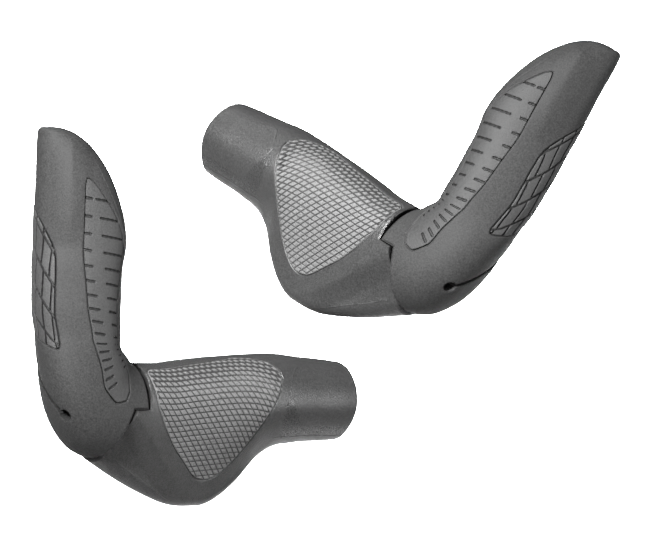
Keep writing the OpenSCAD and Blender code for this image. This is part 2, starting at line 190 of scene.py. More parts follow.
# Inlay outlines: position, first and last angle round the horn
INNER = [
    (27, 97, 108), (34, 90, 122), (45, 90, 131), (60, 96, 140), (75, 101, 147), (92, 104, 153),
    (110, 100.5, 155), (119, 98, 162), (129, 94, 158), (140, 96, 147), (149, 100, 132), (155, 105, 120),
    (157, 109, 114)]
OUTER = [
    (84, 58, 63), (87, 43, 67), (92, 15, 66.5), (97, -8, 66), (103, -30, 66), (110, -38, 66), (125, -38, 63),
    (131, -34, 54), (138.5, -26, 36), (144, -12, 14), (146, -4, 3)]


def power(x, p):
    """Power of the size of x, with the sign of x."""
    return np.sign(x) * np.abs(x) ** p


def horn_point(v, a, off=0.0):
    """Point of the bar end at position v and angle a round it, off millimetres outside its skin."""
    v, a = np.broadcast_arrays(np.asarray(v, float), np.asarray(a, float))
    reach, wide, deep, lean, height, square = (curve(HORN, v, c) for c in range(1, 7))
    turn = np.radians(np.minimum(v, QUARTER))
    tilt = np.radians(FACE_LEAN * lean)

    def flat(degrees):
        """Point of the section in its own plane."""
        r = np.radians(degrees)
        return np.stack([wide * power(np.cos(r), 2 / square), deep * power(np.sin(r), 2 / square)], -1)

    middle = np.stack([PIVOT_X + reach * np.sin(turn),
                       PIVOT_Y - reach * np.cos(turn) + np.maximum(0, v - QUARTER), height], -1)
    across = np.stack([np.sin(turn) * np.cos(tilt), -np.cos(turn), -np.sin(turn) * np.sin(tilt)], -1)
    depth = np.stack([np.sin(tilt), np.zeros_like(tilt), np.cos(tilt)], -1)
    t = flat(a + 0.5) - flat(a - 0.5)
    normal = np.stack([t[..., 1], -t[..., 0]], -1) / np.linalg.norm(t, axis=-1, keepdims=True)
    p = flat(a) + normal * np.broadcast_to(off, v.shape)[..., None]
    return middle + across * p[..., :1] + depth * p[..., 1:]


# ---- Placing: the grip's own axes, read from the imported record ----
MM = 0.001
SLIT_ANGLE = math.radians(42)
SIDES = ("right", "left")
mounts = {m["name"]: m for m in frame["record"]["mounts"]}
joints = {j["name"]: j for j in frame["record"]["behaviour"]["joints"]}


def placing(side):
    """Matrix from a grip's own millimetres to the row frame's metres."""
    along = -Vector(mounts["right_bar_bore"]["axis"]).normalized()
    bolt = -Vector(joints["right_bolt_travel"]["axis"]).normalized()
    slit = bolt.cross(along)
    forward = math.cos(SLIT_ANGLE) * slit + math.sin(SLIT_ANGLE) * bolt
    up = math.cos(SLIT_ANGLE) * bolt - math.sin(SLIT_ANGLE) * slit
    axes = Matrix((along, forward, up)).transposed() * MM
    if side == "left":
        axes = Matrix.Diagonal((-1, 1, 1)) @ axes
    return Matrix.Translation(Vector(mounts[side + "_bar_bore"]["pos_m"])) @ axes.to_4x4()


# ---- Mesh helpers ----
def make_mesh(name, points, faces):
    """Object with a mesh of these points and faces, welded, with its normals outward."""
    mesh = bpy.data.meshes.new(name)
    mesh.from_pydata([tuple(p) for p in points], [], faces)
    work = bmesh.new()
    work.from_mesh(mesh)
    bmesh.ops.remove_doubles(work, verts=work.verts, dist=1e-5)
    bmesh.ops.recalc_face_normals(work, faces=work.faces)
    work.to_mesh(mesh)
    work.free()
    piece = bpy.data.objects.new(name, mesh)
    bpy.context.scene.collection.objects.link(piece)
    return piece


def loft(name, rings):
    """Closed mesh through rings of the same number of points, with a fan at each end."""
    rings = np.asarray(rings, float)
    m, n, _ = rings.shape
    points = np.vstack([rings.reshape(-1, 3), rings[0].mean(0), rings[-1].mean(0)])
    faces = [(i * n + k, i * n + (k + 1) % n, (i + 1) * n + (k + 1) % n, (i + 1) * n + k)
             for i in range(m - 1) for k in range(n)]
    faces += [((k + 1) % n, k, m * n) for k in range(n)]
    faces += [((m - 1) * n + k, (m - 1) * n + (k + 1) % n, m * n + 1) for k in range(n)]
    return make_mesh(name, points, faces)


def cylinder(start, end, radius, axes, count=96):
    """Cutter round the first of three axes, from start to end along it."""
    a = np.linspace(0, 2 * math.pi, count, endpoint=False)
    ring = radius * (np.cos(a)[:, None] * axes[1] + np.sin(a)[:, None] * axes[2])
    return loft("cutter", [ring + start, ring + end])


def box_cutter(low, high, axes):
    """Box cutter between two corners given along the axes."""
    corners = [(low[1], low[2]), (high[1], low[2]), (high[1], high[2]), (low[1], high[2])]
    rings = [[x * axes[0] + y * axes[1] + z * axes[2] for y, z in corners] for x in (low[0], high[0])]
    return loft("cutter", rings)


def carve(piece, cutters):
    """Cuts every cutter out of the piece."""
    for cutter in cutters:
        cut = piece.modifiers.new("cut", "BOOLEAN")
        cut.operation = "DIFFERENCE"
        cut.solver = "MANIFOLD"
        cut.object = cutter
    graph = bpy.context.evaluated_depsgraph_get()
    mesh = bpy.data.meshes.new_from_object(piece.evaluated_get(graph))
    piece.modifiers.clear()
    piece.data = mesh
    for cutter in cutters:
        bpy.data.objects.remove(cutter)


def tree_of(points):
    """Search tree for the nearest of the points."""
    tree = KDTree(len(points))
    for i, p in enumerate(points):
        tree.insert(p, i)
    tree.balance()
    return tree


def dense(points, gap=0.1):
    """The same path with points every gap millimetres."""
    points = np.asarray(points, float)
    lengths = np.concatenate([[0], np.cumsum(np.linalg.norm(np.diff(points, axis=0), axis=1))])
    at = np.arange(0, lengths[-1], gap)
    return np.stack([np.interp(at, lengths, points[:, c]) for c in range(3)], -1)


class Skin:
    """The smooth skin of a body before it is cut: where it is, and which way it faces."""

    def __init__(self, points, normals):
        self.tree = tree_of(points)
        self.normals = normals

    def under(self, point, reach=0.55):
        """The skin's normal at a point that lies on it, or None."""
        _, i, gap = self.tree.find(point)
        return self.normals[i] if gap < reach else None


def grid_normals(rings):
    """Outward normals of a closed-round grid of points."""
    along = np.gradient(rings, axis=0)
    around = np.roll(rings, -1, axis=1) - np.roll(rings, 1, axis=1)
    normal = np.cross(along, around)
    return normal / np.maximum(np.linalg.norm(normal, axis=-1, keepdims=True), 1e-9)


def engrave(piece, skin, paths, near=1.0, rounds=2, longest=0.22):
    """Refines the mesh near each path, and presses a soft groove or a rounded edge into it.

    Each path is (closely spaced points, half width, depth). A negative depth raises a ridge."""
    trees = [(tree_of(points), wide, deep) for points, wide, deep in paths]

    def closest(point):
        """Distance from the nearest path's edge."""
        return min(tree.find(point)[2] - wide for tree, wide, _ in trees)

    work = bmesh.new()
    work.from_mesh(piece.data)
    for _ in range(rounds):
        close = {v for v in work.verts if closest(v.co) < near and skin.under(v.co) is not None}
        edges = [e for e in work.edges
                 if e.verts[0] in close and e.verts[1] in close and e.calc_length() > longest]
        bmesh.ops.subdivide_edges(work, edges=edges, cuts=1, use_grid_fill=True)
    for v in work.verts:
        normal = skin.under(v.co)
        if normal is None:
            continue
        press = 0.0
        for tree, wide, deep in trees:
            gap = tree.find(v.co)[2] / wide
            if gap < 1:
                press = max(press, deep * (1 - gap * gap) ** 2, key=abs)
        v.co -= Vector(normal) * press
    work.to_mesh(piece.data)
    work.free()


def relief_sheet(name, upper, lower, relief, skip=8):
    """Closed mesh of a soft inlay: a fine upper grid, a coarse lower one, and walls between them."""
    m, n, _ = upper.shape
    low = lower[::skip, ::skip]
    p, q, _ = low.shape
    points = np.vstack([upper.reshape(-1, 3), low.reshape(-1, 3)])
    base = m * n
    faces = [(i * n + k, i * n + k + 1, (i + 1) * n + k + 1, (i + 1) * n + k)
             for i in range(m - 1) for k in range(n - 1)]
    faces += [(base + (i + 1) * q + k, base + (i + 1) * q + k + 1, base + i * q + k + 1, base + i * q + k)
              for i in range(p - 1) for k in range(q - 1)]

    def rim(rows, columns):
        """Indices round a grid's edge, in order."""
        return ([k for k in range(columns - 1)] + [i * columns + columns - 1 for i in range(rows - 1)]
                + [(rows - 1) * columns + k for k in range(columns - 1, 0, -1)]
                + [i * columns for i in range(rows - 1, 0, -1)])

    fine, coarse = rim(m, n), [base + i for i in rim(p, q)]
    for j, here in enumerate(coarse):
        there = coarse[(j + 1) % len(coarse)]
        for i in range(skip):
            a, b = fine[j * skip + i], fine[(j * skip + i + 1) % len(fine)]
            faces.append((b, a, here if i < skip // 2 else there))
        faces.append((fine[j * skip + skip // 2], here, there))
    piece = make_mesh(name, points, faces)
    tree = tree_of(upper.reshape(-1, 3))
    flat = relief.reshape(-1)
    # the relief attribute also tells the material where to paint shade into the grooves
    attribute = piece.data.attributes.new("relief", "FLOAT", "POINT")
    values = []
    for v in piece.data.vertices:
        _, i, gap = tree.find(v.co)
        values.append(float(flat[i]) if gap < 1e-3 else 0.0)
    attribute.data.foreach_set("value", values)
    return piece


def mark(piece, name, skin, values):
    """Point attribute on a piece, read from its nearest skin point."""
    attribute = piece.data.attributes.new(name, "FLOAT", "POINT")
    attribute.data.foreach_set("value", [float(values[skin.tree.find(v.co)[1]]) for v in piece.data.vertices])


def set_down(shape, side, name, body, node, material, sharp=35):
    """A copy of a shape placed on one side, as the piece that stands for a CAD node."""
    mesh = shape.data.copy()
    mesh.transform(placing(side))
    work = bmesh.new()
    work.from_mesh(mesh)
    if side == "left":
        bmesh.ops.reverse_faces(work, faces=work.faces)
    for face in work.faces:
        face.smooth = True
    for edge in work.edges:  # sharper edges than this stay crisp
        edge.smooth = len(edge.link_faces) == 2 and edge.calc_face_angle() < math.radians(sharp)
    work.to_mesh(mesh)
    work.free()
    mesh.materials.clear()
    mesh.materials.append(material)
    piece = bpy.data.objects.new(f"{side}_{name}", mesh)
    bpy.context.scene.collection.objects.link(piece)
    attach(piece, f"{side}_{body}")
    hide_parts(f"{side}_{node}")
    return piece


# ---- Fits, in millimetres ----
# Seam, slit and keyhole are a little wider than the frame's, so that they read as dark gaps, and the ring
# pocket is a little deeper, so that its floor never meets the core's end face.
CORE_R = 12.9
RING_R = 14.65
RECESS_R = RING_R + 0.4
SEAM_X = 107
SEAM_GAP = 1
RING_POCKET_END = 132.2
POCKET_END = 133.5
POCKET_START = 90
BAR_CLEAR_R = 11.5
INLAY_DEPTH = 1.6
INLAY_BED = 1.5
SLIT_W = 1.7
KEYHOLE_REACH, KEYHOLE_R = 10, 2.4
BOLT_X, BOLT_REACH, BOLT_R = 137.4, 14.5, 2.75
BOLT_HOLE_TOP, BELOW_BODY = 10.5, 30
WASHER_SEAT, RECESS_ROUND = -3, 5.2
NUT_W, NUT_LOW, NUT_T = 8, 4.4, 3.6
FAR_X, FAR_OUT = 180, 60
# Angles round the bar: where the seam steps, how far the horn turns, and the play left beside each step
STEP_TOP, STEP_LOW, TURN_DOWN, STEP_PLAY = 106, 236, 20, 1.6
# Angle round the bar, and how far along it the seam lies between the steps
SHOULDER = [(106, 114.5), (130, 118), (155, 122), (185, 125.5), (236, 126)]
BAR_AXES = np.eye(3)
SLIT_AXES = np.array(Matrix.Rotation(SLIT_ANGLE, 3, "X"))
BOLT_AXES = SLIT_AXES[[2, 0, 1]]


def in_slit(x, y, z):
    """Point given along the bar, out along the slit and along the bolt."""
    return np.array([x, y, z]) @ SLIT_AXES


def seam_path(first, last, before, reach):
    """One side of the seam, as (angle round the bar, position along it).

    From first to last it follows the shoulder, moved by reach. Elsewhere it stands at before."""
    shoulder = [(a, curve(SHOULDER, max(a, STEP_TOP), 1) + reach) for a in np.arange(first, last + 0.5, 1)]
    plain = [(a, before) for a in np.arange(last + 0.5, 360 + first - 0.5, 2)]
    return shoulder + plain + [(360 + first - 0.4, before)]


def seam_cutter(path, flat_x, far=60, near=6):
    """Thick washer round the bar with one flat face and one face that follows the seam."""
    rings = []
    for degrees, x in path:
        a = math.radians(degrees)
        rings.append([(px, r * math.cos(a), r * math.sin(a))
                      for px, r in ((x, near), (x, far), (flat_x, far), (flat_x, near))])
    rings = np.array(rings)
    m = len(rings)
    faces = [(i * 4 + k, i * 4 + (k + 1) % 4, (i + 1) % m * 4 + (k + 1) % 4, (i + 1) % m * 4 + k)
             for i in range(m) for k in range(4)]
    return make_mesh("cutter", rings.reshape(-1, 3), faces)


def even(a, b, n):
    """n + 1 evenly spaced values from a to b."""
    return np.linspace(a, b, n + 1)


def fan(a, b, n):
    """n + 1 columns between the arrays a and b, row by row."""
    return a[:, None] + (b - a)[:, None] * np.linspace(0, 1, n + 1)


def rows_between(start, first, last, end, gap):
    """Positions from start to end, close together at first and last, where a pocket's end walls stand."""
    wall = 0.05
    parts = [(start, first - wall), (first, last), (last + wall, end)]
    return np.concatenate([np.linspace(a, b, max(2, round((b - a) / gap))) for a, b in parts])


def lifted(points, normals, path, heights, wide, soft=0.6):
    """Raises a crest along a path: a roof of the given heights that falls away to nothing at wide."""
    path = np.asarray(path)
    tree = tree_of(path)
    flat, up = points.reshape(-1, 3).copy(), normals.reshape(-1, 3)
    for k, p in enumerate(flat):
        _, i, gap = tree.find(p)
        if gap < wide:
            roof = 1 - math.hypot(gap, soft) / wide
            flat[k] = p + up[k] * heights[i] * max(0.0, roof)
    return flat.reshape(points.shape)


def run_of(points):
    """Distance along each row of a grid of points, from its first column."""
    gaps = np.linalg.norm(np.diff(points, axis=1), axis=-1)
    return np.concatenate([np.zeros((len(points), 1)), np.cumsum(gaps, axis=1)], axis=1)


# ---- Rubber shell ----
SKIN_COLUMNS, FLOOR_COLUMNS = 150, 60
# Crest on the wing, from the notch in the seam towards the palm pad's tip: x and u
WING_CREST = [(118, 1.14), (115, 1.23), (112, 1.32), (107, 1.45), (102, 1.55), (96, 1.69), (89, 1.8),
              (81, 1.93), (74, 2.02), (67, 2.1)]
WING_CREST_H, WING_CREST_W = 2.4, 8.5
# Far end of the smooth inboard panel: u and x
PANEL_END = [(0.7, 28), (0.83, 34), (0.93, 36.5), (1.08, 38.4), (1.32, 39.5), (1.84, 36), (2, 35)]
# Mould lines and the panel's border: half width and depth of a fine raised line
FINE_LINE = (0.34, -0.16)


def palm_sides(x):
    """Columns where the palm pad's pocket begins and ends at x; past its ends they spread evenly."""
    spread = step(0, 14, np.maximum(PALM[0][0] - x, x - PALM[-1][0]))
    front, back = palm_edge(x, 1), palm_edge(x, 2)
    return front + (0.62 - front) * spread, back + (1.6 - back) * spread


def panel_front_u(x):
    """u of the smooth panel's front border."""
    return 0.84 - 0.1 * x / 29


def panel_back_u(x):
    """u of the smooth panel's back border."""
    return 1.97 - 0.13 * x / 36


def smooth_panel(x, u):
    """1 on the shell's smooth inboard panel, 0 on its stippled rest."""
    w = np.mod(u, 4)
    end = curve(PANEL_END, w, 1)
    across = step(0, 0.03, w - panel_front_u(x)) * step(0, 0.03, panel_back_u(x) - w)
    return across * step(0, 1, end - x)


def shell_shape():
    """The shell with its pocket, bore and seam cut, its skin, and how smooth the skin is at each point."""
    x = np.concatenate([[0, 0.25, 0.5, 0.8, 1.2, 1.8, 2.4],
                        rows_between(3, PALM[0][0], PALM[-1][0], 127, 0.75)])
    front, back = palm_sides(x)
    inside = (x >= PALM[0][0]) & (x <= PALM[-1][0])
    outer = fan(front + 4, back, SKIN_COLUMNS)
    floor = fan(back, front, FLOOR_COLUMNS)
    rows = x[:, None]
    skin = shell_point(rows, outer)
    covered = shell_point(rows, floor)
    rings = np.concatenate([skin, covered], axis=1)
    normals = grid_normals(rings)
    crest = dense(shell_point(*np.array(WING_CREST).T), 0.4)
    heights = WING_CREST_H * step(62, 96, crest[:, 0])
    rings = lifted(rings, normals, crest, heights, WING_CREST_W, 0.5)
    whole = Skin(rings.reshape(-1, 3), normals.reshape(-1, 3))
    smooth = np.concatenate([smooth_panel(rows, outer), 0 * covered[..., 0]], axis=1).reshape(-1)
    sunk = rings.copy()
    pocket = slice(SKIN_COLUMNS + 1, None)
    sunk[inside, pocket] -= normals[inside, pocket] * INLAY_DEPTH
    piece = loft("shell_shape", sunk)
    carve(piece, [
        seam_cutter(seam_path(STEP_TOP, STEP_LOW, SEAM_X, 0), 140),
        cylinder(np.array([-1, 0, 0]), np.array([141, 0, 0]), CORE_R, BAR_AXES),
        cylinder(np.array([SEAM_X - 1, 0, 0]), np.array([141, 0, 0]), RECESS_R, BAR_AXES)])
    return piece, whole, smooth


def seam_on_shell(path):
    """The seam's edge on the shell: for each angle round the bar, the skin's point at that angle."""
    u = np.linspace(0, 4, 721)
    edge = []
    for degrees, x in path:
        ring = shell_point(x, u)
        angles = np.degrees(np.arctan2(ring[:, 2], ring[:, 1])) % 360
        gap = np.abs((angles - degrees + 180) % 360 - 180)
        edge.append(ring[gap.argmin()])
    return np.array(edge)


def palm_outline(gap=0.5):
    """Closed path round the palm pad's edge, on the skin."""
    x = np.concatenate([np.arange(PALM[0][0], PALM[-1][0], gap), [PALM[-1][0]]])
    front = shell_point(x, palm_edge(x, 1))
    back = shell_point(x, palm_edge(x, 2))
    ends = [shell_point(x[k], even(palm_edge(x[k], 1), palm_edge(x[k], 2), 12))
            for k in (0, -1)]
    return np.vstack([front, ends[1], back[::-1], ends[0][::-1], front[:1]])


def shell_lines():
    """Grooves and rounded edges of the shell: (points, half width, depth)."""
    seam = seam_on_shell(seam_path(STEP_TOP, STEP_LOW, SEAM_X, 0))
    front_x, back_x = np.arange(1.5, 30, 1.5), np.arange(1.5, 40, 1.5)
    panel_front = shell_point(front_x, panel_front_u(front_x))
    panel_back = shell_point(back_x, panel_back_u(back_x))
    panel_end = shell_point(np.array([29.2, 31, 34, 36.5, 38.4]),
                            np.array([0.74, 0.76, 0.83, 0.93, 1.08]))
    low_x = np.arange(76, 120, 2)
    parting = shell_point(low_x, 2.24 - 0.22 * step(76, 104, low_x) - 0.04 * step(104, 120, low_x))
    return [(dense(np.vstack([seam, seam[:1]])), 0.9, 0.5), (dense(palm_outline()), 0.45, 0.3),
            (dense(np.vstack([panel_front, panel_end])), *FINE_LINE), (dense(panel_back), *FINE_LINE),
            (dense(parting), *FINE_LINE)]


def palm_pad_shape():
    """Soft pad: raised lozenges in rows along the bar, wide in the middle and thin by the front edge."""
    x = even(PALM[0][0] + 0.15, PALM[-1][0] - 0.15, 304)
    front, back = palm_edge(x, 1), palm_edge(x, 2)
    width = np.linalg.norm(shell_point(x, front) - shell_point(x, back), axis=1)
    inset = 0.15 / width
    u = fan(front + (back - front) * inset, back - (back - front) * inset, 208)
    flat = shell_point(x[:, None], u)
    # across counts backwards over the pad from its front edge, level from the tube's foremost line
    across = run_of(flat)
    start = run_of(shell_point(x[:, None], fan(0.5 + 0 * x, front, 20)))[:, -1:]
    level = across + start - 0.0085 * np.maximum(0, 64 - x[:, None]) ** 2
    pitch, row, slant = 2.9, 2.45, 1.95
    q = -level / row
    p = (x[:, None] - slant * q) / pitch
    cell = 1 - 2 * np.maximum(np.abs(p % 1 - 0.5), np.abs(q % 1 - 0.5))
    narrow = 1 - step(3, 15, across)
    edge_low = 0.05 + 0.33 * narrow
    lozenge = step(edge_low, edge_low + 0.22, cell)
    outline = tree_of(dense(palm_outline(), 0.2))
    gap = np.array([outline.find(point)[2] for point in flat.reshape(-1, 3)]).reshape(across.shape)
    inside = step(0.35, 0.9, gap)
    top = -0.14 + (0.34 + 0.1 * narrow) * lozenge
    rim = -0.34 * (1 - step(0.1, 0.5, gap))
    height = top * inside + 0.02 * (1 - inside) + rim
    normal = shell_point(x[:, None], u, 1.0) - flat
    upper = flat + normal * height[..., None]
    lower = shell_point(x[:, None], u, -INLAY_BED)
    return relief_sheet("palm_shape", upper, lower, np.where(inside > 0.5, lozenge, 0.75))


# ---- Bar end ----
# Columns over the outer pocket, the face between the pockets, the inner pocket, and the rest
OUTER_COLUMNS, FACE_COLUMNS, INNER_COLUMNS, REST_COLUMNS = 64, 18, 50, 88
# Crest between the horn's inner face and its tip: position and angle round the horn
CREST = [(128, 78), (134, 79), (146, 84), (159, 90), (166, 97), (171, 109), (175, 116)]
CREST_H, CREST_W = 1.6, 9
# Mould line over the horn's tip: position and angle round the horn
PARTING = [(120, 163), (134, 160), (150, 148), (158, 142), (172, 142), (176, 140)]


def edge_angle(form, v, side):
    """Angle of an inlay's first (side 1) or last (side 2) edge at v."""
    return curve(form, np.clip(v, form[0][0], form[-1][0]), side)


def inlay_sides(form, v, relaxed):
    """Angles where an inlay's pocket begins and ends at v; past its ends they reach the relaxed pair."""
    spread = step(0, 14, np.maximum(form[0][0] - v, v - form[-1][0]))
    sides = [edge_angle(form, v, c) for c in (1, 2)]
    return [s + (r - s) * spread for s, r in zip(sides, relaxed)]


def horn_rows():
    """Positions of the horn's sections, close together where a pocket's end walls stand."""
    walls = [INNER[0][0], OUTER[0][0], OUTER[-1][0], INNER[-1][0]]
    turned = np.concatenate([
        np.linspace(0, walls[0] - 0.1, 24), np.linspace(walls[0], walls[1] - 0.1, 50),
        np.linspace(walls[1], QUARTER, 6)])
    straight = np.concatenate([
        np.linspace(QUARTER + 0.6, walls[2], 84), np.linspace(walls[2] + 0.05, walls[3], 18),
        np.linspace(walls[3] + 0.05, 170, 20), np.linspace(170.6, 177, 14),
        [177.3, 177.6, 177.8, 178]])
    return np.concatenate([turned, straight])


def horn_shape():
    """The bar end with pockets, seam, bores, slit and the bolt's and nut's seats cut, and its skin."""
    v = horn_rows()
    outer = inlay_sides(OUTER, v, (-40, 62))
    inner = inlay_sides(INNER, v, (92, 150))
    a = np.concatenate([
        fan(outer[0], outer[1], OUTER_COLUMNS), fan(outer[1], inner[0], FACE_COLUMNS),
        fan(inner[0], inner[1], INNER_COLUMNS), fan(inner[1], 360 + outer[0], REST_COLUMNS)], axis=1)
    rings = horn_point(v[:, None], a)
    normals = grid_normals(rings)
    crest_v = np.arange(CREST[0][0], CREST[-1][0] + 0.1, 0.5)
    crest = horn_point(crest_v, curve(CREST, crest_v, 1))
    heights = CREST_H * step(126, 142, crest_v) * (1 - 0.6 * step(168, 176, crest_v))
    rings = lifted(rings, normals, crest, heights, CREST_W, 0.2)
    whole = Skin(rings.reshape(-1, 3), normals.reshape(-1, 3))
    sunk = rings.copy()
    in_outer = (v >= OUTER[0][0]) & (v <= OUTER[-1][0])
    in_inner = (v >= INNER[0][0]) & (v <= INNER[-1][0])
    outer_pocket = slice(0, OUTER_COLUMNS + 1)
    inner_start = OUTER_COLUMNS + FACE_COLUMNS + 2
    inner_pocket = slice(inner_start, inner_start + INNER_COLUMNS + 1)
    sunk[in_outer, outer_pocket] -= normals[in_outer, outer_pocket] * INLAY_DEPTH
    sunk[in_inner, inner_pocket] -= normals[in_inner, inner_pocket] * INLAY_DEPTH
    piece = loft("horn_shape", sunk)
    bolt = in_slit(BOLT_X, BOLT_REACH, 0)
    along_bolt = SLIT_AXES[2]
    keyhole = in_slit(0, -KEYHOLE_REACH, 0)
    carve(piece, [
        seam_cutter(seam_path(STEP_TOP - STEP_PLAY, STEP_LOW + TURN_DOWN + STEP_PLAY,
                              SEAM_X + SEAM_GAP, SEAM_GAP), 60),
        cylinder(np.array([POCKET_START, 0, 0]), np.array([RING_POCKET_END, 0, 0]), RING_R, BAR_AXES),
        cylinder(np.array([POCKET_START, 0, 0]), np.array([POCKET_END, 0, 0]), BAR_CLEAR_R, BAR_AXES),
        box_cutter((SEAM_X - 4, RING_R - 3, -SLIT_W / 2), (FAR_X, FAR_OUT, SLIT_W / 2), SLIT_AXES),
        box_cutter((POCKET_END - 1, -KEYHOLE_REACH, -SLIT_W / 2), (FAR_X, FAR_OUT, SLIT_W / 2), SLIT_AXES),
        cylinder(keyhole + (POCKET_END - 1, 0, 0), keyhole + (170, 0, 0), KEYHOLE_R, BAR_AXES, 48),
        cylinder(bolt - along_bolt * BELOW_BODY, bolt + along_bolt * BOLT_HOLE_TOP, BOLT_R, BOLT_AXES, 48),
        cylinder(bolt - along_bolt * BELOW_BODY, bolt + along_bolt * WASHER_SEAT,
                 RECESS_ROUND, BOLT_AXES, 64),
        box_cutter((BOLT_X - NUT_W / 2, BOLT_REACH - NUT_W / 2, NUT_LOW),
                   (BOLT_X + NUT_W / 2, BOLT_REACH + NUT_W / 2, NUT_LOW + NUT_T), SLIT_AXES)])
    return piece, whole


def horn_outline(form, gap=0.5):
    """Closed path round an inlay's edge, on the skin."""
    v = np.concatenate([np.arange(form[0][0], form[-1][0], gap), [form[-1][0]]])
    first, last = (horn_point(v, edge_angle(form, v, c)) for c in (1, 2))
    ends = [horn_point(v[k], even(edge_angle(form, v[k], 1), edge_angle(form, v[k], 2), 10))
            for k in (0, -1)]
    return np.vstack([first, ends[1], last[::-1], ends[0][::-1], first[:1]])


def cut_edges(piece, skin):
    """Points along the mesh's sharp edges that lie on the skin."""
    work = bmesh.new()
    work.from_mesh(piece.data)
    found = []
    for edge in work.edges:
        if len(edge.link_faces) != 2 or edge.calc_face_angle() < math.radians(40):
            continue
        ends = [np.array(v.co) for v in edge.verts]
        if all(skin.under(p, 0.4) is not None for p in ends):
            found += [ends[0] + (ends[1] - ends[0]) * t for t in np.linspace(0, 1, 4)]
    work.free()
    return np.array(found)


def horn_lines():
    """Grooves and the mould line of the bar end: (points, half width, depth)."""
    parting_v = np.arange(120, 176, 1.5)
    parting = horn_point(parting_v, curve(PARTING, parting_v, 1))
    return [(dense(horn_outline(INNER)), 0.5, 0.35), (dense(horn_outline(OUTER)), 0.7, 0.5),
            (dense(parting), *FINE_LINE)]


def inlay_grid(form, rows, columns, inset=0.18):
    """Grids for a horn inlay: v, a, points on the skin, normals, points below, distance across, rim."""
    v = even(form[0][0] + 0.15, form[-1][0] - 0.12, rows)
    first, last = (edge_angle(form, v, c) for c in (1, 2))
    width = np.linalg.norm(horn_point(v, first) - horn_point(v, last), axis=1)
    trim = (last - first) * inset / np.maximum(width, 1)
    a = fan(first + trim, last - trim, columns)
    flat = horn_point(v[:, None], a)
    normal = horn_point(v[:, None], a, 1.0) - flat
    lower = horn_point(v[:, None], a, -INLAY_BED)
    across = run_of(flat)
    tree = tree_of(dense(horn_outline(form), 0.2))
    rim = np.array([tree.find(p)[2] for p in flat.reshape(-1, 3)]).reshape(a.shape)
    return v[:, None] + 0 * a, a, flat, normal, lower, across, rim


def slot_gap(along, across, centre, start, end, half):
    """How deep inside a round-ended transverse slot each point is: 1 on its centre line, 0 at its edge."""
    reach = np.clip(across, start, end)
    return np.clip(1 - np.hypot(along - centre, across - reach) / half, 0, 1)


def inner_pad_shape():
    """Soft pad on the horn's inner side, with a pair of short transverse grooves every few millimetres."""
    v, _, flat, normal, lower, across, rim = inlay_grid(INNER, 400, 72)
    # round the elbow, 0.44 mm of the inner side goes to each degree
    along = np.where(v >= QUARTER, v, QUARTER - 0.44 * (QUARTER - v))
    width = across[:, -1:]
    groove = np.zeros_like(v)
    slots = 16
    place = along + 0.15 * across
    for k in range(slots):
        centre = 149 - 7.5 * k + 0.16 * k * (k - 1)
        inset = 2.3 * float(step(3, 9, k))
        groove = np.maximum(groove, slot_gap(place, across, centre, inset - 1, inset + 2.9, 0.6))
        length = 1.7 + 0.46 * width * step(-1, 4, k + 2) * (1 - step(2, 11, k))
        if k < slots - 1:
            groove = np.maximum(groove, slot_gap(place, across, centre, width - length, width + 1, 0.52))
    groove = step(0, 0.55, groove)
    height = -0.6 * groove - 0.36 * (1 - step(0.1, 0.55, rim)) + 0.05
    upper = flat + normal * height[..., None]
    return relief_sheet("inner_shape", upper, lower, 1 - groove)


def outer_pad_shape():
    """Soft pad on the horn's outer side, cut by two families of lines into long diamonds."""
    v, a, flat, normal, lower, across, rim = inlay_grid(OUTER, 320, 160)
    # side counts over the skin from angle 0 towards the inner side
    start = run_of(horn_point(v[:, :1], fan(0 * a[:, -1], a[:, -1], 30)))[:, -1:]
    side = across - across[:, -1:] + start
    slope, pitch, lane = 1.25, 12.1, 4.5
    q = (146.3 - v - slope * side) / pitch
    oblique = np.abs(q - np.round(q)) * pitch / math.hypot(1, slope)
    p = (side - curve([(0, 15.3), (1, 16.8), (2, 17.4), (4, 17.8)], np.floor(q), 1)) / lane
    lengthwise = np.abs(p - np.round(p)) * lane
    cut = np.maximum(1 - step(0.28, 0.58, oblique), 1 - step(0.22, 0.5, lengthwise))
    height = 0.2 - 0.85 * cut - 0.4 * (1 - step(0.1, 0.55, rim))
    upper = flat + normal * height[..., None]
    return relief_sheet("outer_shape", upper, lower, 1 - cut)


